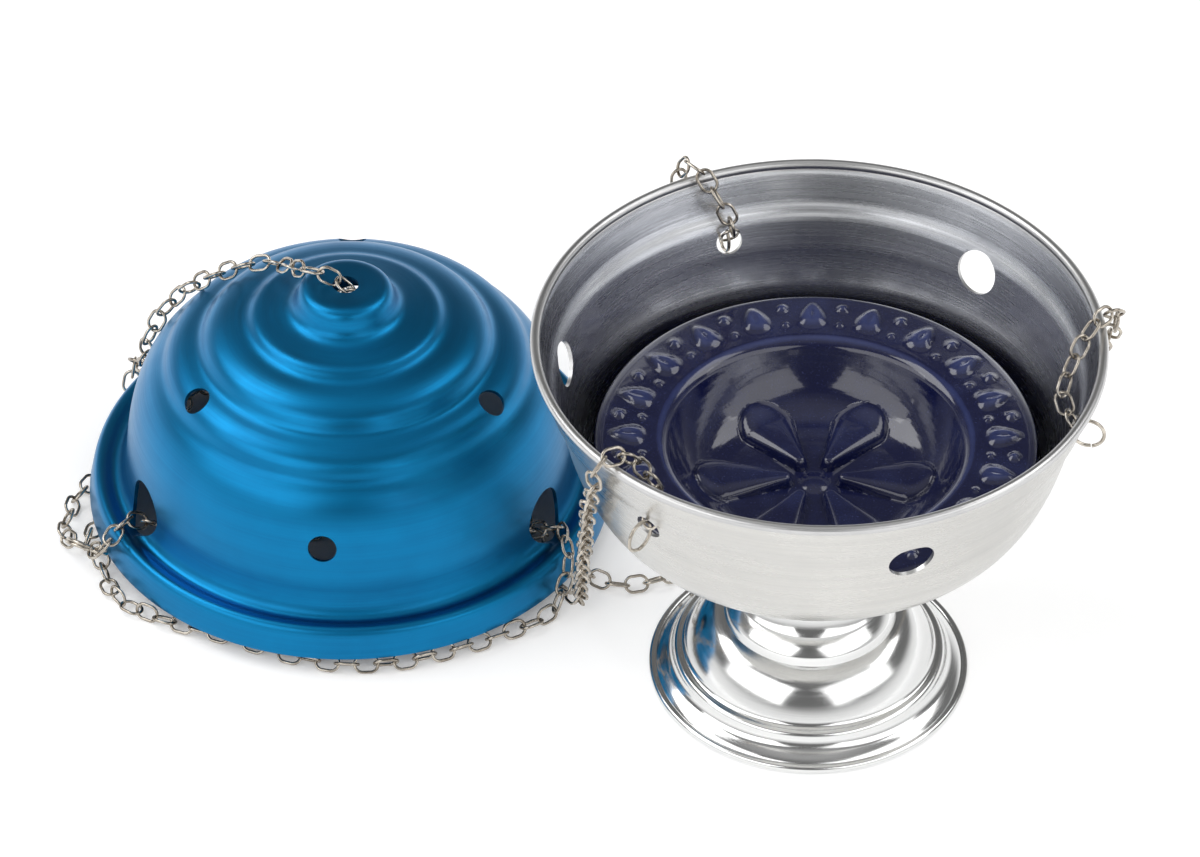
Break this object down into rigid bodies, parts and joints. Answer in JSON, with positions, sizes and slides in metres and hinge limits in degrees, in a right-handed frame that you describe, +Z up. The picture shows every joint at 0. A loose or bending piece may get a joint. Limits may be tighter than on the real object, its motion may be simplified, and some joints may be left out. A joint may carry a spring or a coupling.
{
  "type": "lidded incense burner",
  "caption": "Hanging incense burner: footed metal bowl with a ceramic dish, a stepped domed lid set down beside it, and cable chains on a ring.",
  "frame": {"origin": "on the table, at the middle of the plan of bowl and lid", "axes": "+X from the lid to the bowl, +Y away from the side with the lid's front vent, +Z up"},
  "size_m": [0.3238, 0.2484, 0.1369],
  "materials": {
    "blue_anodised": "satin blue anodised spun aluminium",
    "spun_aluminium": "satin spun aluminium, brushed round inside",
    "polished_aluminium": "mirror polished",
    "navy_glaze": "glossy navy glaze on stoneware",
    "chain_nickel": "nickel plated links",
    "ring_nickel": "nickel plated spring wire"
  },
  "bodies": {
    "bowl": {"bowl": "spun_aluminium", "foot": "polished_aluminium", "foot_rivet": "spun_aluminium", "rivet_washer": "spun_aluminium", "front_end_link": "ring_nickel", "right_end_link": "ring_nickel", "back_end_link": "ring_nickel", "front_chain_bowl_run": "chain_nickel", "right_chain_bowl_run": "chain_nickel", "back_chain_bowl_run": "chain_nickel"},
    "lid": {"lid": "blue_anodised", "lid_link": "ring_nickel", "front_chain_inner_run": "chain_nickel", "right_chain_inner_run": "chain_nickel", "back_chain_inner_run": "chain_nickel", "front_chain_outer_run": "chain_nickel", "right_chain_outer_run": "chain_nickel", "back_chain_outer_run": "chain_nickel", "lid_chain": "chain_nickel"},
    "lid_ring": {"lid_ring": "ring_nickel"},
    "ceramic_dish": {"ceramic_dish": "navy_glaze"},
    "front_jump_ring": {"front_jump_ring": "ring_nickel"},
    "right_jump_ring": {"right_jump_ring": "ring_nickel"},
    "back_jump_ring": {"back_jump_ring": "ring_nickel"},
    "gathering_ring": {"gathering_ring": "ring_nickel"}
  },
  "joints": [
    {"name": "lid_lift", "type": "slide", "parent": "bowl", "child": "lid", "axis": [0, 0, 1], "range_m": [0, 0.03]},
    {"name": "dish_lift", "type": "slide", "parent": "bowl", "child": "ceramic_dish", "axis": [0, 0, 1], "range_m": [0, 0.075]},
    {"name": "lid_ring_turn", "type": "hinge", "parent": "lid", "child": "lid_ring", "pos_m": [-0.07014, 0.03951, 0.07985], "axis": [-0.1564, -0.9877, 0], "continuous": true},
    {"name": "front_ring_turn", "type": "hinge", "parent": "bowl", "child": "front_jump_ring", "pos_m": [0.01705, -0.09796, 0.10699], "axis": [0.7604, -0.6494, 0], "continuous": true},
    {"name": "right_ring_turn", "type": "hinge", "parent": "bowl", "child": "right_jump_ring", "pos_m": [0.14891, -0.05127, 0.10699], "axis": [0.1822, 0.9833, 0], "continuous": true},
    {"name": "back_ring_turn", "type": "hinge", "parent": "bowl", "child": "back_jump_ring", "pos_m": [0.04254, 0.03958, 0.10699], "axis": [-0.9426, -0.3338, 0], "continuous": true},
    {"name": "gathering_ring_turn", "type": "hinge", "parent": "bowl", "child": "gathering_ring", "pos_m": [-0.1548, 0.00965, 0.00532], "axis": [-0.3611, -0.6292, -0.6882], "continuous": true}
  ]
}
